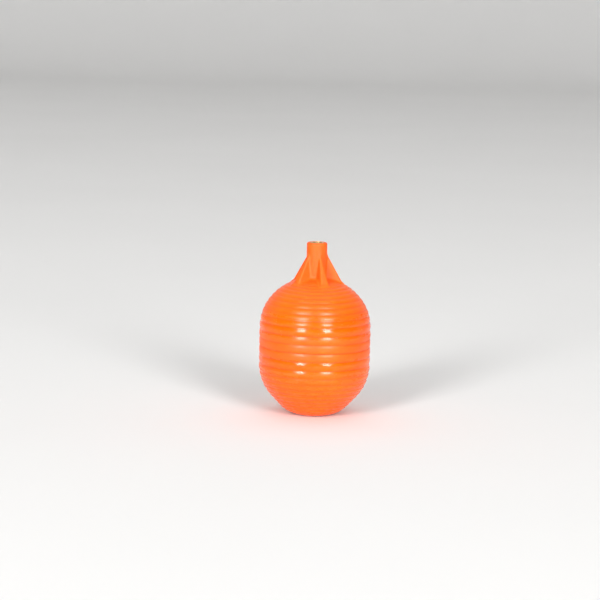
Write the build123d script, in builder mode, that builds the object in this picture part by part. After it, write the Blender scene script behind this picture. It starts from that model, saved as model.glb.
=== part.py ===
from build123d import *
import os
from math import acos, cos, radians, sin, tan

os.makedirs("parts", exist_ok=True)

# A hollow plastic float for a float valve: two ribbed shells welded at mid height,
# with a gusseted boss on top that holds a threaded brass insert.
# Millimetres. Z is the axis of the float, and Z = 0 is its flat base.

# ---------------------------------------------------------------- body
BODY_R = 40.0          # radius over the ribs
SEAM_Z = 49.5          # weld plane, half way up the body
WALL = 2.4             # wall thickness at the top of a rib
RIB_H = 0.5            # height of a rib over its grooves
STRAIGHT = 13.3        # straight wall on each side of the weld plane
FLANK_R = 34.0         # radius from the straight wall into the dome
FLANK_DEG = 43.5       # angle at which that radius ends
CROWN_R = 38.4         # flatter radius from there to the boss
BASE_CURVE_R = 19.3    # radius from the cone under the flank into the flat base
GATE_R = 3.0           # recess round the moulding gate in the base
GATE_DEPTH = 0.5

# ---------------------------------------------------------------- ribs of one half
WALL_RIBS = 3          # wide ribs next to the weld plane
WALL_PITCH = 6.1
DOME_RIBS = 9          # narrower ribs, closer together away from the weld plane
DOME_PITCH_FIRST = 4.95
DOME_PITCH_LAST = 3.14
LAST_FADE = 3.0        # run over which the last groove fades into the crown

# ---------------------------------------------------------------- boss and gussets
TOP_Z = 123.9
BOSS_R = 7.3
BOSS_EDGE = 0.6
GUSSETS = 5
GUSSET_FIRST_DEG = -70.5
GUSSET_TOP_Z = 115.3
GUSSET_SLOPE = 0.564   # radius gained for each millimetre down
GUSSET_FOOT_Z = 93.0
GUSSET_FOOT_W = 6.2    # width at the foot
GUSSET_DRAFT = 6.0     # degrees on each side
GUSSET_IN_R = 6.0      # inner end, inside the wall of the boss
GUSSET_ROOT_R = 4.4    # inner end of the drafted block before it is trimmed

# ---------------------------------------------------------------- threaded insert
INSERT_R = 5.0
INSERT_LEN = 16.0
INSERT_FLOOR = 2.0
WAIST_R = 4.3          # waist that locks the insert in the plastic
WAIST_LEN = 2.6
THREAD_R = 3.25
KNURLS = 24
KNURL_R = 0.3
KNURL_MARGIN = 0.8     # plain land at each end of a knurled band
BOSS_FLOOR = 3.0       # plastic under the insert
CORE_TOP_R = 4.6       # hollow core of the boss
CORE_FOOT_R = 4.9

# ---------------------------------------------------------------- weld joint
SPIGOT_IN_R = 35.9
SPIGOT_GAP = 0.1
SPIGOT_UP = 4.0
SPIGOT_DOWN = 6.0
SPIGOT_LEAD = 0.4

# Centres of the two profile arcs, as radius and height over the weld plane.
flank_c = (BODY_R - FLANK_R, STRAIGHT)
flank_end = (
    flank_c[0] + FLANK_R * cos(radians(FLANK_DEG)),
    flank_c[1] + FLANK_R * sin(radians(FLANK_DEG)),
)
crown_c = (
    flank_end[0] - CROWN_R * cos(radians(FLANK_DEG)),
    flank_end[1] - CROWN_R * sin(radians(FLANK_DEG)),
)
FLANK_END_S = STRAIGHT + FLANK_R * radians(FLANK_DEG)

# Under the flank the lower shell is a cone, then an arc that ends level with the flat base.
cone_drop = SEAM_Z - flank_end[1] - BASE_CURVE_R * (1 - sin(radians(FLANK_DEG)))
cone_run = cone_drop / cos(radians(FLANK_DEG))
cone_end_s = FLANK_END_S + cone_run
base_r = flank_end[0] - cone_drop * tan(radians(FLANK_DEG)) - BASE_CURVE_R * cos(radians(FLANK_DEG))


def skin(s, inset, domed):
    """Point at arc length s from the weld plane: radius, and height over that plane."""
    if s < STRAIGHT:
        return (BODY_R - inset, s)
    if s < FLANK_END_S:
        a = (s - STRAIGHT) / FLANK_R
        return (flank_c[0] + (FLANK_R - inset) * cos(a), flank_c[1] + (FLANK_R - inset) * sin(a))
    a = radians(FLANK_DEG)
    run = s - FLANK_END_S
    if domed:
        a = a + run / CROWN_R
        return (crown_c[0] + (CROWN_R - inset) * cos(a), crown_c[1] + (CROWN_R - inset) * sin(a))
    if run < cone_run:
        start = (flank_end[0] - inset * cos(a), flank_end[1] - inset * sin(a))
        return (start[0] - run * sin(a), start[1] + run * cos(a))
    a = a + (run - cone_run) / BASE_CURVE_R
    deep = SEAM_Z - BASE_CURVE_R
    return (base_r + (BASE_CURVE_R - inset) * cos(a), deep + (BASE_CURVE_R - inset) * sin(a))


# Arc lengths of the grooves, from the weld plane outwards.
grooves = [i * WALL_PITCH for i in range(WALL_RIBS + 1)]
for i in range(DOME_RIBS):
    pitch = DOME_PITCH_FIRST + (DOME_PITCH_LAST - DOME_PITCH_FIRST) * i / (DOME_RIBS - 1)
    grooves.append(grooves[-1] + pitch)

# ---------------------------------------------------------------- gussets
# Five drafted ribs, trimmed to a cone outside and to the middle of the dome's wall below.
foot_r = BOSS_R + GUSSET_SLOPE * (GUSSET_TOP_Z - GUSSET_FOOT_Z)
under_r = CROWN_R - WALL / 2


def under_z(r):
    """Height of the middle of the crown's wall at radius r."""
    return SEAM_Z + crown_c[1] + (under_r ** 2 - (r - crown_c[0]) ** 2) ** 0.5


with BuildPart() as gussets:
    with BuildSketch(Plane.XY.offset(GUSSET_FOOT_Z)):
        with PolarLocations((GUSSET_ROOT_R + foot_r) / 2, GUSSETS, start_angle=GUSSET_FIRST_DEG):
            Rectangle(foot_r - GUSSET_ROOT_R, GUSSET_FOOT_W)
    extrude(amount=GUSSET_TOP_Z - GUSSET_FOOT_Z, taper=GUSSET_DRAFT)
    with BuildSketch(Plane.XZ):
        with BuildLine():
            ThreePointArc(
                (GUSSET_IN_R, under_z(GUSSET_IN_R)),
                (foot_r / 2, under_z(foot_r / 2)),
                (foot_r, GUSSET_FOOT_Z),
            )
            Polyline(
                (foot_r, GUSSET_FOOT_Z),
                (BOSS_R, GUSSET_TOP_Z),
                (GUSSET_IN_R, GUSSET_TOP_Z),
                (GUSSET_IN_R, under_z(GUSSET_IN_R)),
            )
        make_face()
    revolve(axis=Axis.Z, mode=Mode.INTERSECT)

# ---------------------------------------------------------------- upper shell
boss_foot_z = SEAM_Z + crown_c[1] + (CROWN_R ** 2 - (BOSS_R - crown_c[0]) ** 2) ** 0.5
rib_end = skin(grooves[-1], RIB_H, True)
crown_mid = skin(grooves[-1] + LAST_FADE, 0.0, True)
pocket_z = TOP_Z - INSERT_LEN
waist_top = TOP_Z - INSERT_LEN / 2 + WAIST_LEN / 2
waist_end = TOP_Z - INSERT_LEN / 2 - WAIST_LEN / 2
waist_step = INSERT_R - WAIST_R
core_foot_a = acos((CORE_FOOT_R - crown_c[0]) / (CROWN_R - WALL))
core_foot_z = SEAM_Z + crown_c[1] + (CROWN_R - WALL) * sin(core_foot_a)
inner_mid = skin(FLANK_END_S + CROWN_R * (core_foot_a - radians(FLANK_DEG)) / 2, WALL, True)
inner_end = skin(FLANK_END_S, WALL, True)
inner_flank = skin(STRAIGHT + FLANK_R * radians(FLANK_DEG / 2), WALL, True)

with BuildPart() as upper_shell:
    with BuildSketch(Plane.XZ):
        with BuildLine():
            for i in range(len(grooves) - 1):
                low = skin(grooves[i], RIB_H, True)
                mid = skin((grooves[i] + grooves[i + 1]) / 2, 0.0, True)
                high = skin(grooves[i + 1], RIB_H, True)
                ThreePointArc(
                    (low[0], SEAM_Z + low[1]), (mid[0], SEAM_Z + mid[1]), (high[0], SEAM_Z + high[1])
                )
            ThreePointArc(
                (rib_end[0], SEAM_Z + rib_end[1]),
                (crown_mid[0], SEAM_Z + crown_mid[1]),
                (BOSS_R, boss_foot_z),
            )
            Polyline(
                (BOSS_R, boss_foot_z),
                (BOSS_R, TOP_Z - BOSS_EDGE),
                (BOSS_R - BOSS_EDGE, TOP_Z),
                (INSERT_R, TOP_Z),
                (INSERT_R, waist_top),
                (WAIST_R, waist_top - waist_step),
                (WAIST_R, waist_end + waist_step),
                (INSERT_R, waist_end),
                (INSERT_R, pocket_z),
                (0, pocket_z),
                (0, pocket_z - BOSS_FLOOR),
                (CORE_TOP_R, pocket_z - BOSS_FLOOR),
                (CORE_FOOT_R, core_foot_z),
            )
            ThreePointArc(
                (CORE_FOOT_R, core_foot_z),
                (inner_mid[0], SEAM_Z + inner_mid[1]),
                (inner_end[0], SEAM_Z + inner_end[1]),
            )
            ThreePointArc(
                (inner_end[0], SEAM_Z + inner_end[1]),
                (inner_flank[0], SEAM_Z + inner_flank[1]),
                (BODY_R - WALL, SEAM_Z + STRAIGHT),
            )
            Polyline(
                (BODY_R - WALL, SEAM_Z + STRAIGHT),
                (BODY_R - WALL, SEAM_Z),
                (BODY_R - RIB_H, SEAM_Z),
            )
        make_face()
    revolve(axis=Axis.Z)
    add(gussets.part)

upper_shell.part.label = "upper_shell"
export_step(upper_shell.part, "parts/upper_shell.step")

# ---------------------------------------------------------------- lower shell
last = skin(grooves[-1], RIB_H, False)
wall_in = BODY_R - WALL
cup_end = skin(cone_end_s, WALL, False)
cup_mid = skin(cone_end_s + BASE_CURVE_R * radians(90 - FLANK_DEG) / 2, WALL, False)
spigot_r = wall_in - SPIGOT_GAP

with BuildPart() as lower_shell:
    with BuildSketch(Plane.XZ):
        with BuildLine():
            for i in range(len(grooves) - 1):
                low = skin(grooves[i], RIB_H, False)
                mid = skin((grooves[i] + grooves[i + 1]) / 2, 0.0, False)
                high = skin(grooves[i + 1], RIB_H, False)
                ThreePointArc(
                    (low[0], SEAM_Z - low[1]), (mid[0], SEAM_Z - mid[1]), (high[0], SEAM_Z - high[1])
                )
            TangentArc((base_r, 0), (last[0], SEAM_Z - last[1]), tangent=(1, 0))
            Polyline(
                (base_r, 0),
                (GATE_R + GATE_DEPTH, 0),
                (GATE_R, GATE_DEPTH),
                (0, GATE_DEPTH),
                (0, WALL),
                (base_r, WALL),
            )
            ThreePointArc(
                (base_r, WALL),
                (cup_mid[0], SEAM_Z - cup_mid[1]),
                (cup_end[0], SEAM_Z - cup_end[1]),
            )
            Line(
                (cup_end[0], SEAM_Z - cup_end[1]),
                (inner_end[0], SEAM_Z - inner_end[1]),
            )
            ThreePointArc(
                (inner_end[0], SEAM_Z - inner_end[1]),
                (inner_flank[0], SEAM_Z - inner_flank[1]),
                (wall_in, SEAM_Z - STRAIGHT),
            )
            Polyline(
                (wall_in, SEAM_Z - STRAIGHT),
                (wall_in, SEAM_Z - SPIGOT_DOWN),
                (SPIGOT_IN_R, SEAM_Z - SPIGOT_DOWN + wall_in - SPIGOT_IN_R),
                (SPIGOT_IN_R, SEAM_Z + SPIGOT_UP - SPIGOT_LEAD),
                (SPIGOT_IN_R + SPIGOT_LEAD, SEAM_Z + SPIGOT_UP),
                (spigot_r - SPIGOT_LEAD, SEAM_Z + SPIGOT_UP),
                (spigot_r, SEAM_Z + SPIGOT_UP - SPIGOT_LEAD),
                (spigot_r, SEAM_Z),
                (BODY_R - RIB_H, SEAM_Z),
            )
        make_face()
    revolve(axis=Axis.Z)

lower_shell.part.label = "lower_shell"
export_step(lower_shell.part, "parts/lower_shell.step")

# ---------------------------------------------------------------- threaded insert
knurl_len = (INSERT_LEN - WAIST_LEN) / 2 - 2 * KNURL_MARGIN

with BuildPart() as threaded_insert:
    with BuildSketch(Plane.XZ):
        with BuildLine():
            Polyline(
                (THREAD_R, TOP_Z),
                (INSERT_R, TOP_Z),
                (INSERT_R, waist_top),
                (WAIST_R, waist_top - waist_step),
                (WAIST_R, waist_end + waist_step),
                (INSERT_R, waist_end),
                (INSERT_R, pocket_z),
                (0, pocket_z),
                (0, pocket_z + INSERT_FLOOR),
                (THREAD_R, pocket_z + INSERT_FLOOR),
                (THREAD_R, TOP_Z),
            )
        make_face()
    revolve(axis=Axis.Z)
    with BuildSketch(Plane.XY.offset(pocket_z + KNURL_MARGIN)):
        with PolarLocations(INSERT_R, KNURLS):
            Circle(KNURL_R)
    extrude(amount=knurl_len, mode=Mode.SUBTRACT)
    with BuildSketch(Plane.XY.offset(TOP_Z - KNURL_MARGIN)):
        with PolarLocations(INSERT_R, KNURLS):
            Circle(KNURL_R)
    extrude(amount=-knurl_len, mode=Mode.SUBTRACT)

threaded_insert.part.label = "threaded_insert"
export_step(threaded_insert.part, "parts/threaded_insert.step")
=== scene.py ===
import math

import bpy
import numpy as np
from mathutils import Matrix, Vector


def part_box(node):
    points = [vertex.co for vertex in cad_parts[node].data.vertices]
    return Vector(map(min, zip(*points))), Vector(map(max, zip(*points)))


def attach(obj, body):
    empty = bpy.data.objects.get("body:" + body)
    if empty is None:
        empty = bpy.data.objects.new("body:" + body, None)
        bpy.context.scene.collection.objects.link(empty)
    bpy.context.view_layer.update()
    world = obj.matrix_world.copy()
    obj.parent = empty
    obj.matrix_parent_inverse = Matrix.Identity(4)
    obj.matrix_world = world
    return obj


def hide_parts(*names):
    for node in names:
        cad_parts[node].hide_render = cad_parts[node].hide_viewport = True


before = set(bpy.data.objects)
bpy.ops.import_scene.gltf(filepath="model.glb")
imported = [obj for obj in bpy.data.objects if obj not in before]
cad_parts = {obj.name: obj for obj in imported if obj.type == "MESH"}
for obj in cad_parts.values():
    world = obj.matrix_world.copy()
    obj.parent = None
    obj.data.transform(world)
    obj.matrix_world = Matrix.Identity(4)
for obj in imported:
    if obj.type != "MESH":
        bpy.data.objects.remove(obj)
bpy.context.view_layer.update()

# A ribbed plastic float standing on its flat base. Lengths are millimetres until a mesh is made.
MM = 0.001

# ------------------------------------------------------------------ sizes
_, low_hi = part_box("lower_shell")
up_lo, up_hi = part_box("upper_shell")
BODY_R = low_hi.x / MM
SEAM_Z = up_lo.z / MM
TOP_Z = up_hi.z / MM

# Both shells: a straight wall and a flank, then a crown above, or a cone and a curve to the base below.
WALL = 2.4
STRAIGHT = 13.3
FLANK_R = 34.0
FLANK_A = math.radians(43.5)
CROWN_R = 38.4
BASE_CURVE_R = 19.3
GATE_R = 3.0
GATE_DEPTH = 0.5

# Ribs, along the skin from the weld plane. PLAIN is the mark of skin that has no ribs.
RIB_H = 0.5
WALL_RIBS = 3
WALL_PITCH = 6.1
DOME_RIBS = 9
DOME_PITCH_FIRST = 4.95
DOME_PITCH_LAST = 3.14
VALLEY_R = 0.22
LAST_FADE = 3.0
WALL_STEPS, DOME_STEPS = 12, 9
WELD_DIP = 0.1
WELD_DIP_RUN = 0.85
WELD_NOTCH = 0.04
PLAIN = 0.5

# Slow waves that keep the moulded skin from being perfectly even.
WAVES = 7
WAVE_H = 0.012
UNEVEN = 0.06

# Boss, its gussets, and their edges, which get a painted highlight and are rougher for rubbing.
BOSS_R = 7.3
BOSS_EDGE = 1.2
GUSSETS = 5
GUSSET_FIRST = math.radians(-70.5)
GUSSET_TOP_Z = 115.3
GUSSET_FOOT_Z = 93.0
GUSSET_FOOT_W = 6.2
GUSSET_SLOPE = 0.564
GUSSET_DRAFT = math.radians(6.0)
GUSSET_BURIED = 2.0
BURIED_BLEND = 0.5
RIM_BLEND = 1.1
ROOT_BLEND = 1.4
TOP_BLEND = 1.3
DOME_BLEND = 2.4
GUSSET_HIGHLIGHT_AND_WEAR = 0.9
GUSSET_HIGHLIGHT_AND_WEAR_FROM = 0.6
LIP_HIGHLIGHT_AND_WEAR = 0.8
LIP_BACK = 0.2

# Insert and its pocket, the core inside the boss, and the spigot behind the weld.
INSERT_R = 5.0
INSERT_LEN = 16.0
THREAD_R = 3.25
BOSS_FLOOR = 3.0
CORE_TOP_R = 4.6
CORE_FOOT_R = 4.9
SPIGOT_IN_R = 35.9
SPIGOT_GAP = 0.1
SPIGOT_UP = 4.0
SPIGOT_DOWN = 6.0

# ------------------------------------------------------------------ profile of one half
FLANK_END_S = STRAIGHT + FLANK_R * FLANK_A
flank_c = (BODY_R - FLANK_R, STRAIGHT)
flank_end = (flank_c[0] + FLANK_R * math.cos(FLANK_A), flank_c[1] + FLANK_R * math.sin(FLANK_A))
crown_c = (flank_end[0] - CROWN_R * math.cos(FLANK_A), flank_end[1] - CROWN_R * math.sin(FLANK_A))
CONE_DROP = SEAM_Z - flank_end[1] - BASE_CURVE_R * (1 - math.sin(FLANK_A))
CONE_RUN = CONE_DROP / math.cos(FLANK_A)
BASE_R = flank_end[0] - CONE_DROP * math.tan(FLANK_A) - BASE_CURVE_R * math.cos(FLANK_A)
BASE_END_S = FLANK_END_S + CONE_RUN + BASE_CURVE_R * (math.pi / 2 - FLANK_A)
BOSS_A = math.acos((BOSS_R - crown_c[0]) / CROWN_R)
BOSS_S = FLANK_END_S + CROWN_R * (BOSS_A - FLANK_A)
BOSS_FOOT_Z = SEAM_Z + crown_c[1] + CROWN_R * math.sin(BOSS_A)

dome_pitches = np.linspace(DOME_PITCH_FIRST, DOME_PITCH_LAST, DOME_RIBS)
GROOVES = np.concatenate([np.arange(WALL_RIBS + 1) * WALL_PITCH,
                          WALL_RIBS * WALL_PITCH + np.cumsum(dome_pitches)])


def skin(s, inset, domed):
    """Point at arc length s from the weld plane: radius, and height over that plane."""
    if s < STRAIGHT:
        return BODY_R - inset, s
    if s < FLANK_END_S:
        a = (s - STRAIGHT) / FLANK_R
        return flank_c[0] + (FLANK_R - inset) * math.cos(a), flank_c[1] + (FLANK_R - inset) * math.sin(a)
    run = s - FLANK_END_S
    if domed:
        a = FLANK_A + run / CROWN_R
        return crown_c[0] + (CROWN_R - inset) * math.cos(a), crown_c[1] + (CROWN_R - inset) * math.sin(a)
    if run < CONE_RUN:
        start = (flank_end[0] - inset * math.cos(FLANK_A), flank_end[1] - inset * math.sin(FLANK_A))
        return start[0] - run * math.sin(FLANK_A), start[1] + run * math.cos(FLANK_A)
    a = FLANK_A + (run - CONE_RUN) / BASE_CURVE_R
    curve = BASE_CURVE_R - inset
    return BASE_R + curve * math.cos(a), SEAM_Z - BASE_CURVE_R + curve * math.sin(a)


def rib_depth(s):
    """Depth under the tops of the ribs, with soft valleys at the grooves."""
    s = np.asarray(s, float)
    k = np.clip(np.searchsorted(GROOVES, s, side="right") - 1, 0, len(GROOVES) - 2)
    half = (GROOVES[k + 1] - GROOVES[k]) / 2
    crest = GROOVES[k] + half
    away = half - np.abs(s - crest)
    inside = RIB_H * np.clip(1 - np.sqrt(away ** 2 + VALLEY_R ** 2) / half, 0, 1) ** 2
    dip = WELD_DIP * np.exp(-((s - crest) / WELD_DIP_RUN) ** 2)
    inside = inside + np.where(k == 0, dip, 0)
    past = np.sqrt((s - GROOVES[-1]) ** 2 + VALLEY_R ** 2)
    after = RIB_H * np.clip(1 - past / LAST_FADE, 0, 1) ** 2
    return np.where(s > GROOVES[-1], after, inside)


def rib_runs():
    """Arc lengths of the rings over the ribs, from the weld plane up to the last groove."""
    runs = []
    for i in range(len(GROOVES) - 1):
        steps = WALL_STEPS if i < WALL_RIBS else DOME_STEPS
        runs.extend(np.linspace(GROOVES[i], GROOVES[i + 1], steps, endpoint=False))
    return runs


def wander(phi, s, seed):
    """Unevenness of the skin, from slow waves in random directions."""
    rng = np.random.default_rng(seed)
    total = np.zeros(np.broadcast(phi, s).shape)
    for _ in range(WAVES):
        around = rng.integers(1, 7)
        along = rng.uniform(0.05, 0.5)
        lag = rng.uniform(0, 2 * math.pi)
        total = total + np.sin(around * phi + along * s + lag)
    return np.clip(WAVE_H * total, -UNEVEN, UNEVEN)


# ------------------------------------------------------------------ distance field of the upper shell
def smin(a, b, k):
    """The smaller of two distances, blended over k where they are close."""
    h = np.clip(k - np.abs(a - b), 0, None) / k
    return np.minimum(a, b) - h * h * k / 4


def smax(a, b, k):
    """The larger of two distances, blended over k where they are close."""
    return -smin(-a, -b, k)


def dome_field(r, z, phi):
    """Distance outside the ribbed skin of the upper shell, and the arc length it is nearest to."""
    d = z - SEAM_Z
    a = np.arctan2(d - flank_c[1], r - flank_c[0])
    b = np.arctan2(d - crown_c[1], r - crown_c[0])
    on_wall = d < STRAIGHT
    on_flank = a < FLANK_A
    dist = np.where(on_flank, np.hypot(r - flank_c[0], d - flank_c[1]) - FLANK_R,
                    np.hypot(r - crown_c[0], d - crown_c[1]) - CROWN_R)
    s = np.where(on_flank, STRAIGHT + FLANK_R * a, FLANK_END_S + CROWN_R * (b - FLANK_A))
    dist = np.where(on_wall, r - BODY_R, dist)
    s = np.where(on_wall, d, s)
    return dist + rib_depth(s) + UNEVEN - wander(phi, s, 3), s


def gusset_half(z):
    """Half the width of a gusset at one height."""
    return GUSSET_FOOT_W / 2 - math.tan(GUSSET_DRAFT) * (z - GUSSET_FOOT_Z)


def gusset_planes(r, z, turn):
    """Distances outside a gusset's side and its sloping rim."""
    side = (np.abs(r * np.sin(turn)) - gusset_half(z)) * math.cos(GUSSET_DRAFT)
    rim = (r - BOSS_R - GUSSET_SLOPE * (GUSSET_TOP_Z - z)) / math.hypot(1, GUSSET_SLOPE)
    return side, rim


def edge_highlight_and_wear(r, z, turn):
    """1 along the edges of the gussets' rims and round the top of the boss, 0 away from them; the material
    paints a highlight there and makes it rougher for rubbing.
    """
    side, rim = gusset_planes(r, z, turn)
    corner = np.clip(1 - np.hypot(side, rim) / GUSSET_HIGHLIGHT_AND_WEAR, 0, 1) * (r > BOSS_R + GUSSET_HIGHLIGHT_AND_WEAR_FROM)
    top = np.clip(1 - np.hypot(r - BOSS_R + LIP_BACK, z - TOP_Z + LIP_BACK) / LIP_HIGHLIGHT_AND_WEAR, 0, 1)
    return np.maximum(corner, top)


def upper_field(r, z, phi, turn):
    """Distance outside the upper shell, where turn is the angle from the middle of the nearest gusset."""
    dome, s = dome_field(r, z, phi)
    boss = r - BOSS_R
    side, rim = gusset_planes(r, z, turn)
    gusset = smax(smax(side, rim, RIM_BLEND), GUSSET_FOOT_Z - GUSSET_BURIED - z, BURIED_BLEND)
    neck = smin(boss, gusset, ROOT_BLEND)
    neck = smax(neck, z - TOP_Z, TOP_BLEND)
    return smin(neck, dome, DOME_BLEND), s


# ------------------------------------------------------------------ meshes from rings
def ring_mesh(name, rings, outside_up):
    """A closed mesh from rings of points, where a ring of one point is a pole.

    Its faces look outwards: outside_up says whether the rings climb on the outside or go down it.
    """
    verts, faces, starts = [], [], []
    count = 0
    for ring in rings:
        starts.append(count)
        verts.append(np.asarray(ring, float).reshape(-1, 3))
        count += len(verts[-1])
    for i in range(len(rings) - 1):
        a, b = starts[i], starts[i + 1]
        na, nb = len(verts[i]), len(verts[i + 1])
        n = max(na, nb)
        for j in range(n):
            k = (j + 1) % n
            if na == 1:
                faces.append((a, b + j, b + k))
            elif nb == 1:
                faces.append((a + j, b, a + k))
            else:
                faces.append((a + j, b + j, b + k, a + k))
    mesh = bpy.data.meshes.new(name)
    if outside_up:
        faces = [face[::-1] for face in faces]
    mesh.from_pydata((np.concatenate(verts) * MM).tolist(), [], faces)
    mesh.validate()
    mesh.shade_smooth()
    obj = bpy.data.objects.new(name, mesh)
    bpy.context.scene.collection.objects.link(obj)
    return obj


SECTOR = 2 * math.pi / GUSSETS
RIM_COLS, SIDE_COLS, BAY_COLS = 7, 15, 14
HALF_COLS = RIM_COLS + SIDE_COLS + BAY_COLS
COLS = 2 * HALF_COLS * GUSSETS


def even_turns():
    return np.arange(HALF_COLS + 1) / HALF_COLS * SECTOR / 2


def full_circle(half_turns):
    """Angles all round, and from each gusset's middle, from those of half a sector."""
    sector = np.concatenate([-half_turns[::-1][:-1], half_turns[:-1]])
    turn = np.tile(sector, GUSSETS)
    phi = GUSSET_FIRST + turn + np.repeat(np.arange(GUSSETS) * SECTOR, len(sector))
    return phi, turn


def lathe_ring(r, z, phi):
    """A level ring of points round the axis, or a pole when r is 0."""
    if r == 0:
        return np.array([[0.0, 0.0, z]])
    return np.stack([r * np.cos(phi), r * np.sin(phi), np.full_like(phi, z)], -1)


# Range of the rays that find the upper shell, and how often it is halved.
NEAREST, FARTHEST = 1.0, 70.0
HALVINGS = 34


def solve(origin_z, up, phi, turn):
    """Where rays from the axis, at slope angle up, leave the upper shell."""
    near = np.full(phi.shape, NEAREST)
    far = np.full(phi.shape, FARTHEST)
    for _ in range(HALVINGS):
        mid = (near + far) / 2
        value, _ = upper_field(mid * np.cos(up), origin_z + mid * np.sin(up), phi, turn)
        near = np.where(value < 0, mid, near)
        far = np.where(value < 0, far, mid)
    t = (near + far) / 2
    return t * np.cos(up), origin_z + t * np.sin(up)


# Limits that keep the rings in order where a gusset is thin or the ring is small.
THINNEST = 0.7
STEEPEST = 0.52


def neck_turns(guide_r, guide_z, origin_z, up):
    """Angles for a ring through the gussets: close together at their edges and roots."""
    zero = np.zeros(1)
    rim_r, rim_z = solve(origin_z, up, zero + GUSSET_FIRST, zero)
    rim_r, rim_z = max(float(rim_r[0]), guide_r), float(rim_z[0])
    half_top = max(float(gusset_half(rim_z)), THINNEST)
    half_foot = max(float(gusset_half(guide_z)), THINNEST)
    corner = math.asin(min(half_top / rim_r, 0.5))
    rim = corner * np.sin(np.arange(RIM_COLS) / RIM_COLS * math.pi / 2)
    t = np.arange(SIDE_COLS) / SIDE_COLS
    t = t * t * (3 - 2 * t)
    reach = np.maximum(rim_r + (guide_r - rim_r) * t, 0.1)
    width = half_top + (half_foot - half_top) * t
    side = np.arcsin(np.clip(width / reach, 0, STEEPEST))
    side = np.maximum(side, corner)
    root = math.asin(min(half_foot / guide_r, STEEPEST))
    root = max(root, float(side[-1]))
    bay = root + (SECTOR / 2 - root) * np.linspace(0, 1, BAY_COLS + 1) ** 1.25
    turns = np.concatenate([rim, side, bay])
    spread = np.linspace(0, SECTOR / 2, HALF_COLS + 1)
    return np.maximum.accumulate(0.9 * turns + 0.1 * spread)


class Rings:
    """The rings of a shell, each point marked 0 in a groove, 1 on a crest and PLAIN away from the ribs; by
    this mark the material paints shade in the grooves and a highlight on the crests.
    """

    def __init__(self, phi):
        self.phi = phi
        self.rings = []
        self.shades = []

    def plain(self, r, z):
        self.rings.append(lathe_ring(r, z, self.phi))
        self.shades.append(np.full(len(self.rings[-1]), PLAIN))

    def formed(self, r, z, phi, shade):
        self.rings.append(np.stack([r * np.cos(phi), r * np.sin(phi), z], -1))
        self.shades.append(shade)

    def build(self, name, outside_up):
        obj = ring_mesh(name, self.rings, outside_up)
        mark = obj.data.attributes.new("ridge", "FLOAT", "POINT")
        mark.data.foreach_set("value", np.concatenate(self.shades).astype(np.float32))
        return obj


# The rays that find the upper shell start level with it on the wall, then at one hub under the boss.
HUB_Z = 86.5
HUB_S = 44.0
NECK_S = 46.0
NECK_RUN = 6.0
CROWN_STEP = 0.35
NECK_STEP = 0.38


def upper_guides():
    """Arc length, radius and height over the weld plane for each outside ring of the upper shell."""
    guides = [(s, *skin(s, 0, True)) for s in rib_runs()]
    guides[0] = (0.0, guides[0][1], 0.1)
    for s in np.arange(GROOVES[-1], BOSS_S - 0.2, CROWN_STEP):
        guides.append((s, *skin(s, 0, True)))
    for z in np.arange(BOSS_FOOT_Z + 0.1, TOP_Z - BOSS_EDGE, NECK_STEP):
        guides.append((BOSS_S + z - BOSS_FOOT_Z, BOSS_R, z - SEAM_Z))
    for a in np.linspace(0, math.pi / 2, 9):
        r = BOSS_R - BOSS_EDGE * (1 - math.cos(a))
        z = TOP_Z - BOSS_EDGE + BOSS_EDGE * math.sin(a)
        guides.append((BOSS_S + z - BOSS_FOOT_Z, r, z - SEAM_Z))
    return guides


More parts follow.
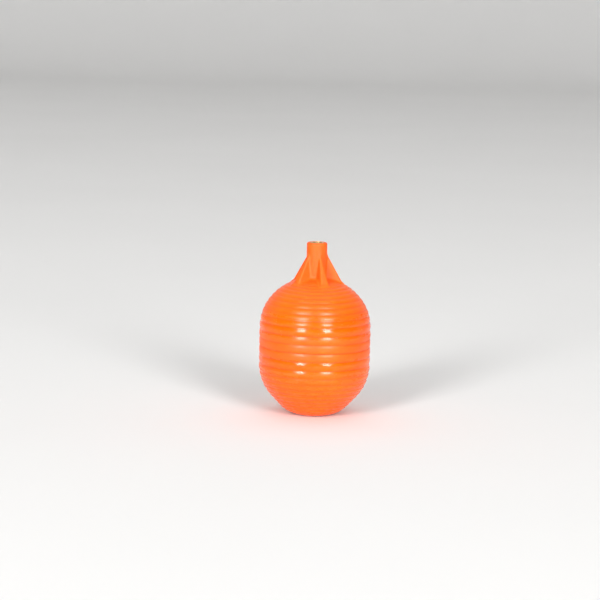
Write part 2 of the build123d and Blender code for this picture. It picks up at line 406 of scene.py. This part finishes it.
def upper_shell_mesh():
    shell = Rings(full_circle(even_turns())[0])

    # Inside, from the core of the boss down to the weld.
    core_z = TOP_Z - INSERT_LEN - BOSS_FLOOR
    for r in (0, 1.5, 3.0, CORE_TOP_R - 0.3):
        shell.plain(r, core_z)
    shell.plain(CORE_TOP_R, core_z - 0.3)
    foot_z = SEAM_Z + crown_c[1] + math.sqrt((CROWN_R - WALL) ** 2 - (CORE_FOOT_R - crown_c[0]) ** 2)
    for t in np.linspace(0.1, 1, 8):
        shell.plain(CORE_TOP_R + (CORE_FOOT_R - CORE_TOP_R) * t, core_z - 0.3 + (foot_z - core_z) * t)
    core_a = math.acos((CORE_FOOT_R - crown_c[0]) / (CROWN_R - WALL))
    core_s = FLANK_END_S + (core_a - FLANK_A) * CROWN_R
    for s in np.linspace(core_s - 0.5, STRAIGHT, 18):
        r, d = skin(s, WALL, True)
        shell.plain(r, SEAM_Z + d)
    for d in (9.0, 5.0, 1.0, 0.15):
        shell.plain(BODY_R - WALL, SEAM_Z + d)
    shell.plain(BODY_R - WALL + 0.15, SEAM_Z)
    shell.plain(BODY_R - RIB_H - WELD_NOTCH, SEAM_Z)

    # Outside, one ring for each guide point, by rays from the axis.
    for s, guide_r, d in upper_guides():
        guide_z = SEAM_Z + d
        blend = min(max((s - STRAIGHT) / (HUB_S - STRAIGHT), 0), 1)
        blend = blend * blend * (3 - 2 * blend)
        origin_z = guide_z if s < STRAIGHT else (SEAM_Z + STRAIGHT) * (1 - blend) + HUB_Z * blend
        up = math.atan2(guide_z - origin_z, guide_r)
        turns = even_turns()
        share = min(max((s - NECK_S) / NECK_RUN, 0), 1)
        if share > 0:
            turns = turns * (1 - share) + neck_turns(guide_r, guide_z, origin_z, up) * share
        phi, turn = full_circle(turns)
        r, z = solve(origin_z, up, phi, turn)
        _, at = upper_field(r, z, phi, turn)
        # Mark of the ribs and of the gusset edges and boss lip: the material paints shade in the grooves,
        # a highlight on crests and edges, and roughens the edges for rubbing.
        highlight_and_wear = PLAIN + (1 - PLAIN) * edge_highlight_and_wear(r, z, turn)
        shell.formed(r, z, phi, np.where(at < GROOVES[-1], 1 - rib_depth(at) / RIB_H, highlight_and_wear))

    # Top face and the pocket of the insert.
    shell.phi = phi
    pocket_z = TOP_Z - INSERT_LEN
    for r, z in ((BOSS_R - 1.7, TOP_Z), (INSERT_R + 0.25, TOP_Z), (INSERT_R + 0.07, TOP_Z - 0.05),
                 (INSERT_R, TOP_Z - 0.2), (INSERT_R, TOP_Z - 8.0), (INSERT_R, pocket_z),
                 (INSERT_R - 0.2, pocket_z), (2.0, pocket_z), (0, pocket_z)):
        shell.plain(r, z)
    return shell.build("upper_shell_moulding", outside_up=True)


SPIGOT_LEAD = 0.4
BASE_SMOOTH_RUN = 6.0
FOOT_SHADE = 0.6


def lower_shell_mesh():
    phi = np.arange(COLS) / COLS * 2 * math.pi
    shell = Rings(phi)

    # Inside, from the middle of the base up to the spigot, and round that to the weld.
    for r in (0, 2.5, 5.0, 7.5):
        shell.plain(r, WALL)
    for s in np.linspace(BASE_END_S, STRAIGHT, 44):
        r, d = skin(s, WALL, False)
        shell.plain(r, SEAM_Z - d)
    wall_in = BODY_R - WALL
    spigot_r = wall_in - SPIGOT_GAP
    spigot_top = SEAM_Z + SPIGOT_UP
    spigot_foot = SEAM_Z - SPIGOT_DOWN
    for r, z in ((wall_in, spigot_foot - 0.2), (wall_in - 0.1, spigot_foot),
                 (SPIGOT_IN_R, spigot_foot + wall_in - SPIGOT_IN_R),
                 (SPIGOT_IN_R, spigot_top - SPIGOT_LEAD), (SPIGOT_IN_R + SPIGOT_LEAD, spigot_top),
                 (spigot_r - SPIGOT_LEAD, spigot_top), (spigot_r, spigot_top - SPIGOT_LEAD),
                 (spigot_r, SEAM_Z + 0.1), (spigot_r + 0.1, SEAM_Z),
                 (BODY_R - RIB_H - WELD_NOTCH, SEAM_Z)):
        shell.plain(r, z)

    # Outside: ribs all the way down, and a plain curve from the last groove into the base.
    for s in rib_runs() + list(np.linspace(GROOVES[-1], BASE_END_S, 26)):
        s = max(s, 0.1)
        level = min((BASE_END_S - s) / BASE_SMOOTH_RUN, 1)
        depth = rib_depth(s) + level * (UNEVEN - wander(phi, np.full(COLS, s), 5))
        outer = skin(s, 0, False)
        under = skin(s, 1, False)
        r = outer[0] + (under[0] - outer[0]) * depth
        z = SEAM_Z - (outer[1] + (under[1] - outer[1]) * depth)
        # Mark of the ribs: the material paints shade in the grooves and a highlight on the crests.
        shade = 1 - float(rib_depth(s)) / RIB_H
        shell.formed(r, z, phi, np.full(COLS, shade if s < GROOVES[-1] else min(shade, FOOT_SHADE)))

    # Flat base, and the dimple left by the moulding gate.
    for r, z in ((BASE_R - 0.4, 0), (7.5, 0), (5.5, 0), (GATE_R + GATE_DEPTH, 0),
                 (GATE_R + 0.1, GATE_DEPTH - 0.1), (GATE_R - 0.2, GATE_DEPTH), (1.1, GATE_DEPTH),
                 (0.9, GATE_DEPTH - 0.12), (0.5, GATE_DEPTH - 0.2), (0, GATE_DEPTH - 0.16)):
        shell.plain(r, z)
    return shell.build("lower_shell_moulding", outside_up=False)


INSERT_COLS = 192
PITCH = 1.41
THREAD_DEPTH = 0.62
THREAD_CREST = 1.25
THREAD_SLOPE = 2.6
RUN_OUT_FROM = 2.4
RUN_OUT = 1.6
COUNTERSINK = 0.8
COUNTERSINK_SLOPE = 1.2
KNURLS = 24
KNURL_DEPTH = 0.3
KNURL_MARGIN = 0.8
KNURL_RISE = 0.1
WAIST_R = 4.3
WAIST_LEN = 2.6
SLACK = 0.02
SUNK = 0.03
BORE_STEP = 0.1
BORE_FLOOR = 2.0


def insert_mesh():
    """Turned brass insert: knurled outside in two bands, with a thread of its own helix inside."""
    phi = np.arange(INSERT_COLS) / INSERT_COLS * 2 * math.pi
    foot = TOP_Z - INSERT_LEN
    middle = TOP_Z - INSERT_LEN / 2
    out_r = INSERT_R - SLACK
    waist_lo, waist_hi = middle - WAIST_LEN / 2, middle + WAIST_LEN / 2
    rings = []

    def smooth(r, z):
        rings.append(lathe_ring(r, z, phi))

    def waved(r, z):
        rings.append(np.stack([r * np.cos(phi), r * np.sin(phi), np.full_like(phi, z)], -1))

    def knurled_band(low, high):
        ridges = out_r - KNURL_DEPTH * np.clip(np.cos(KNURLS * phi), 0, 1) ** 2
        smooth(out_r, low + KNURL_MARGIN)
        waved(ridges, low + KNURL_MARGIN + KNURL_RISE)
        waved(ridges, high - KNURL_MARGIN - KNURL_RISE)
        smooth(out_r, high - KNURL_MARGIN)

    for r in (0, 2.0, 4.6):
        smooth(r, foot)
    smooth(out_r, foot + 0.3)
    knurled_band(foot, waist_lo)
    smooth(out_r, waist_lo)
    smooth(WAIST_R, waist_lo + INSERT_R - WAIST_R)
    smooth(WAIST_R, waist_hi - INSERT_R + WAIST_R)
    smooth(out_r, waist_hi)
    knurled_band(waist_hi, TOP_Z)
    smooth(out_r, TOP_Z - 0.12)
    for r in (INSERT_R - 0.1, INSERT_R - 0.16, 4.4):
        smooth(r, TOP_Z - SUNK)
    smooth(4.06, TOP_Z - 0.05)

    # The bore: a thread that starts in a countersink and runs out over the floor.
    for z in np.arange(TOP_Z - 0.08, foot + BORE_FLOOR, -BORE_STEP):
        turn = (z / PITCH - phi / (2 * math.pi)) % 1
        form = np.clip(THREAD_CREST - THREAD_SLOPE * np.abs(turn - 0.5), 0, 1)
        run_out = min(max((z - foot - RUN_OUT_FROM) / RUN_OUT, 0), 1)
        countersink = THREAD_R + COUNTERSINK - (TOP_Z - z) * COUNTERSINK_SLOPE
        waved(np.maximum(THREAD_R + THREAD_DEPTH * form * run_out, countersink), z)
    smooth(THREAD_R - 0.1, foot + BORE_FLOOR)
    smooth(1.5, foot + 1.8)
    smooth(0, foot + 1.5)
    return ring_mesh("threaded_insert_turned", rings, outside_up=True)


upper = upper_shell_mesh()
lower = lower_shell_mesh()
insert = insert_mesh()
for piece, node, slot in ((upper, "upper_shell", "shell_plastic"), (lower, "lower_shell", "shell_plastic"),
                          (insert, "threaded_insert", "insert_brass")):
    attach(piece, "root")
    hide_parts(node)


# ------------------------------------------------------------------ materials
class Tree:
    """Short calls for the nodes of one material or world, placed by one output of its coordinates."""

    def __init__(self, owner, shader, place):
        owner.use_nodes = True
        self.owner = owner
        self.nodes = owner.node_tree.nodes
        self.links = owner.node_tree.links
        self.shader = self.nodes[shader]
        self.place = self.nodes.new("ShaderNodeTexCoord").outputs[place]

    def feed(self, value, socket):
        if isinstance(value, bpy.types.NodeSocket):
            self.links.new(value, socket)
        else:
            socket.default_value = value

    def stretched(self, scale, turn=(0, 0, 0)):
        node = self.nodes.new("ShaderNodeMapping")
        node.inputs["Scale"].default_value = scale
        node.inputs["Rotation"].default_value = turn
        self.links.new(self.place, node.inputs["Vector"])
        return node.outputs["Vector"]

    def noise(self, scale, detail=3.0, vector=None, rough=0.5):
        node = self.nodes.new("ShaderNodeTexNoise")
        node.inputs["Scale"].default_value = scale
        node.inputs["Detail"].default_value = detail
        node.inputs["Roughness"].default_value = rough
        self.links.new(vector or self.place, node.inputs["Vector"])
        return node.outputs["Fac"]

    def spread(self, value, low, high, to_low=0.0, to_high=1.0):
        node = self.nodes.new("ShaderNodeMapRange")
        node.interpolation_type = "SMOOTHSTEP"
        self.feed(value, node.inputs["Value"])
        node.inputs["From Min"].default_value = low
        node.inputs["From Max"].default_value = high
        node.inputs["To Min"].default_value = to_low
        node.inputs["To Max"].default_value = to_high
        return node.outputs["Result"]

    def math(self, kind, a, b=0.0):
        node = self.nodes.new("ShaderNodeMath")
        node.operation = kind
        self.feed(a, node.inputs[0])
        self.feed(b, node.inputs[1])
        return node.outputs[0]

    def blend(self, share, a, b):
        node = self.nodes.new("ShaderNodeMix")
        node.data_type = "RGBA"
        self.feed(share, node.inputs["Factor"])
        self.feed(a, node.inputs[6])
        self.feed(b, node.inputs[7])
        return node.outputs[2]

    def attribute(self, name):
        node = self.nodes.new("ShaderNodeAttribute")
        node.attribute_name = name
        return node.outputs["Fac"]

    def along(self, axis):
        node = self.nodes.new("ShaderNodeSeparateXYZ")
        self.links.new(self.place, node.inputs[0])
        return node.outputs[axis]

    def away_from(self, z):
        """Distance above or below one height."""
        return self.math("ABSOLUTE", self.math("SUBTRACT", self.along("Z"), z))

    def bump(self, height, strength, distance, normal=None):
        node = self.nodes.new("ShaderNodeBump")
        node.inputs["Strength"].default_value = strength
        node.inputs["Distance"].default_value = distance
        self.links.new(height, node.inputs["Height"])
        if normal:
            self.links.new(normal, node.inputs["Normal"])
        return node.outputs["Normal"]


def material_tree(name):
    return Tree(bpy.data.materials.new(name), "Principled BSDF", "Object")


# Pigment of the shells, from its main shade and drifts to a painted shade in the grooves, a painted
# highlight on the rubbed crests and the weld.
PIGMENT = (0.92, 0.098, 0.0016, 1)
PIGMENT_WARM = (0.98, 0.116, 0.0022, 1)
FLOW_LINE = (1.0, 0.14, 0.003, 1)
FLECK = (0.72, 0.07, 0.002, 1)
GROOVE_PAINTED_SHADE = (0.66, 0.058, 0.0018, 1)
PAINTED_HIGHLIGHT_AND_RUB = (1.0, 0.17, 0.01, 1)
WELD_LINE = (0.6, 0.05, 0.0016, 1)
WELD_AWAY = (0.0007, 0.0002)

# Where handling has changed the gloss, in metres, each from no effect to full effect.
SCUFF_Z = 0.052
SCUFF_AWAY = (0.0105, 0.006)
FOOT_Z = (0.037, 0.0345)
SHOULDER_Z = (0.067, 0.0795)
NECK_Z = (0.0935, 0.0985)


def shell_plastic():
    """Glossy orange moulded plastic: drifting pigment, painted shade in the grooves, a painted highlight
    on crests and gusset edges, which are also rougher for rubbing, and hair scratches.
    """
    t = material_tree("orange_plastic")
    ridge = t.attribute("ridge")

    cloud = t.spread(t.noise(24, 3), 0.3, 0.7)
    colour = t.blend(cloud, PIGMENT, PIGMENT_WARM)
    flow = t.noise(1, 3, t.stretched((70, 70, 9)))
    colour = t.blend(t.spread(flow, 0.5, 0.75, 0, 0.35), colour, FLOW_LINE)
    fleck = t.spread(t.noise(420, 2), 0.62, 0.74, 0, 0.25)
    colour = t.blend(fleck, colour, FLECK)

    # Painted shade: the grooves are darkened, more in some patches than in others.
    patch = t.spread(t.noise(60, 4), 0.35, 0.65)
    groove = t.math("MULTIPLY", t.spread(ridge, 0.62, 0.0), t.spread(patch, 0, 1, 0.4, 0.7))
    colour = t.blend(groove, colour, GROOVE_PAINTED_SHADE)
    # Painted highlight: crests and gusset edges are lightened, and further down made rougher for rubbing.
    crest_highlight_and_rub = t.spread(ridge, 0.86, 1.0)
    highlight_and_wear = t.math("MULTIPLY", crest_highlight_and_rub, t.spread(t.noise(150, 4), 0.42, 0.62, 0, 0.4))
    colour = t.blend(t.math("MULTIPLY", highlight_and_wear, 0.5), colour, PAINTED_HIGHLIGHT_AND_RUB)
    weld = t.spread(t.away_from(SEAM_Z * MM), *WELD_AWAY)
    colour = t.blend(t.math("MULTIPLY", weld, 0.1), colour, WELD_LINE)

    hair_a = t.spread(t.noise(1, 2, t.stretched((18, 700, 520), (0.3, 0.5, 0.9))), 0.66, 0.71)
    hair_b = t.spread(t.noise(1, 2, t.stretched((560, 26, 640), (0.7, 0.2, -0.5))), 0.67, 0.72)
    hair = t.math("MAXIMUM", hair_a, hair_b)
    rough = t.spread(t.noise(90, 4), 0.3, 0.7, 0.11, 0.18)

    # Duller where it is handled most: the widest ribs by the weld, the foot, the shoulder and the neck.
    scuff = t.spread(t.noise(130, 3), 0.3, 0.7, 0.16, 0.3)
    for share, amount in ((t.spread(t.away_from(SCUFF_Z), *SCUFF_AWAY), scuff),
                          (t.spread(t.along("Z"), *FOOT_Z), 0.11),
                          (t.spread(t.along("Z"), *SHOULDER_Z), 0.2),
                          (t.spread(t.along("Z"), *NECK_Z), 0.22),
                          (highlight_and_wear, 0.2), (groove, 0.12), (hair, 0.12)):
        rough = t.math("ADD", rough, t.math("MULTIPLY", share, amount))
    t.feed(colour, t.shader.inputs["Base Color"])
    t.feed(rough, t.shader.inputs["Roughness"])

    normal = t.bump(t.noise(95, 3), 0.5, 0.00022)
    normal = t.bump(t.noise(900, 2), 0.22, 0.00003, normal)
    normal = t.bump(t.noise(1, 2, t.stretched((30, 30, 1500))), 0.18, 0.00004, normal)
    normal = t.bump(t.math("MULTIPLY", hair, -1.0), 0.35, 0.00003, normal)
    t.feed(normal, t.shader.inputs["Normal"])

    t.shader.inputs["IOR"].default_value = 1.49
    t.shader.inputs["Specular IOR Level"].default_value = 0.36
    t.shader.inputs["Subsurface Weight"].default_value = 0.22
    t.shader.inputs["Subsurface Radius"].default_value = (1.0, 0.3, 0.06)
    t.shader.inputs["Subsurface Scale"].default_value = 0.0028
    return t.owner


BRASS = (0.80, 0.57, 0.25, 1)
BRASS_TARNISH = (0.47, 0.29, 0.11, 1)
BRASS_CUT = (0.88, 0.68, 0.36, 1)


def insert_brass():
    """Turned brass with fine tool rings and a little brown tarnish."""
    t = material_tree("turned_brass")
    tarnish = t.spread(t.noise(420, 4), 0.4, 0.68)
    colour = t.blend(tarnish, BRASS, BRASS_TARNISH)
    cut = t.noise(1, 3, t.stretched((260, 260, 4200)))
    colour = t.blend(t.spread(cut, 0.52, 0.7, 0, 0.4), colour, BRASS_CUT)
    rough = t.spread(t.noise(700, 3), 0.3, 0.7, 0.2, 0.36)
    rough = t.math("ADD", rough, t.math("MULTIPLY", tarnish, 0.16))
    t.feed(colour, t.shader.inputs["Base Color"])
    t.feed(rough, t.shader.inputs["Roughness"])
    normal = t.bump(cut, 0.3, 0.00004)
    normal = t.bump(t.noise(1500, 2), 0.15, 0.00002, normal)
    t.feed(normal, t.shader.inputs["Normal"])
    t.shader.inputs["Metallic"].default_value = 1.0
    return t.owner


def studio_paper():
    """Matt off-white backdrop paper."""
    t = material_tree("studio_paper")
    tint = t.blend(t.noise(3, 2), (0.82, 0.815, 0.805, 1), (0.85, 0.845, 0.835, 1))
    t.feed(tint, t.shader.inputs["Base Color"])
    t.feed(t.bump(t.noise(300, 2), 0.1, 0.0002), t.shader.inputs["Normal"])
    t.shader.inputs["Roughness"].default_value = 0.9
    t.shader.inputs["Specular IOR Level"].default_value = 0.1
    return t.owner


plastic = shell_plastic()
for piece in (upper, lower):
    piece.data.materials.append(plastic)
brass = insert_brass()
insert.data.materials.append(brass)
for node, finish in (("upper_shell", plastic), ("lower_shell", plastic), ("threaded_insert", brass)):
    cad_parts[node].data.materials.clear()
    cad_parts[node].data.materials.append(finish)

# ------------------------------------------------------------------ camera
ELEVATION = math.radians(8.6)
ROLL = math.radians(1.32)
DISTANCE = 1.6
PX_PER_M = 1396.0
PICTURE = 600
AIM_X = -0.0113
AIM_Z = 0.082

cam_data = bpy.data.cameras.new("camera")
cam = bpy.data.objects.new("camera", cam_data)
bpy.context.scene.collection.objects.link(cam)
cam_data.sensor_width = 36.0
cam_data.lens = cam_data.sensor_width * PX_PER_M * DISTANCE / PICTURE
back = Vector((0, -math.cos(ELEVATION), math.sin(ELEVATION)))
cam.location = Vector((AIM_X, 0, AIM_Z)) + back * DISTANCE
look = (-back).to_track_quat("-Z", "Y").to_matrix()
cam.rotation_euler = (look @ Matrix.Rotation(ROLL, 3, "Z")).to_euler()
cam_data.clip_start = 0.05
cam_data.clip_end = 60
bpy.context.scene.camera = cam


# ------------------------------------------------------------------ floor and lights
def backdrop():
    """A floor that sweeps up behind the object."""
    half = 12.0
    turn_y, radius, top = 4.4, 1.6, 5.0
    line = [(-half, 0.0), (0.0, 0.0), (turn_y, 0.0)]
    for a in np.linspace(0.1, math.pi / 2, 14):
        line.append((turn_y + radius * math.sin(a), radius * (1 - math.cos(a))))
    line.append((turn_y + radius, top))
    verts = [(x, y, z) for y, z in line for x in (-half, half)]
    faces = [(2 * i, 2 * i + 1, 2 * i + 3, 2 * i + 2) for i in range(len(line) - 1)]
    mesh = bpy.data.meshes.new("backdrop")
    mesh.from_pydata(verts, [], faces)
    mesh.shade_smooth()
    mesh.materials.append(studio_paper())
    obj = bpy.data.objects.new("backdrop", mesh)
    bpy.context.scene.collection.objects.link(obj)


LAMP_REACH = 6.0
LAMP_AIM_Z = 0.06


def lamp(name, azimuth, low, high, width, radiance):
    """Soft box at one azimuth from the front, between two elevations, with its width in degrees."""
    across = 2 * LAMP_REACH * math.tan(math.radians(width / 2))
    tall = 2 * LAMP_REACH * math.tan(math.radians((high - low) / 2))
    data = bpy.data.lights.new(name, "AREA")
    data.shape = "RECTANGLE"
    data.size, data.size_y = across, tall
    data.energy = radiance * math.pi * across * tall
    obj = bpy.data.objects.new(name, data)
    bpy.context.scene.collection.objects.link(obj)
    a, e = math.radians(azimuth), math.radians((low + high) / 2)
    way = Vector((math.sin(a) * math.cos(e), -math.cos(a) * math.cos(e), math.sin(e)))
    obj.location = Vector((0, 0, LAMP_AIM_Z)) + way * LAMP_REACH
    obj.rotation_euler = (-way).to_track_quat("-Z", "Y").to_euler()
    obj.visible_camera = False


BEYOND_BACKDROP = 0.6


def studio_light():
    """Dim in front, brighter behind and overhead, so that gloss stays in the lamps and at the rims."""
    world = bpy.data.worlds.new("studio")
    t = Tree(world, "Background", "Generated")
    behind = t.spread(t.along("Y"), 0.0, 0.35, 0.03, 0.5)
    above = t.spread(t.along("Z"), 0.6, 0.92, 0.0, 0.55)
    seen = t.nodes.new("ShaderNodeMix")
    seen.data_type = "FLOAT"
    t.links.new(t.nodes.new("ShaderNodeLightPath").outputs["Is Camera Ray"], seen.inputs[0])
    t.feed(t.math("ADD", behind, above), seen.inputs[2])
    t.feed(BEYOND_BACKDROP, seen.inputs[3])
    t.feed(seen.outputs[0], t.shader.inputs["Strength"])
    t.feed((1, 1, 1, 1), t.shader.inputs["Color"])
    bpy.context.scene.world = world


backdrop()
lamp("left_lamp", -29, 2, 28, 14, 26)
lamp("right_lamp", 25, 2, 28, 16, 22)
lamp("left_strip", -29, 28, 50, 14, 4)
lamp("right_strip", 25, 28, 50, 16, 4)
studio_light()
bpy.context.scene.view_settings.view_transform = "Standard"
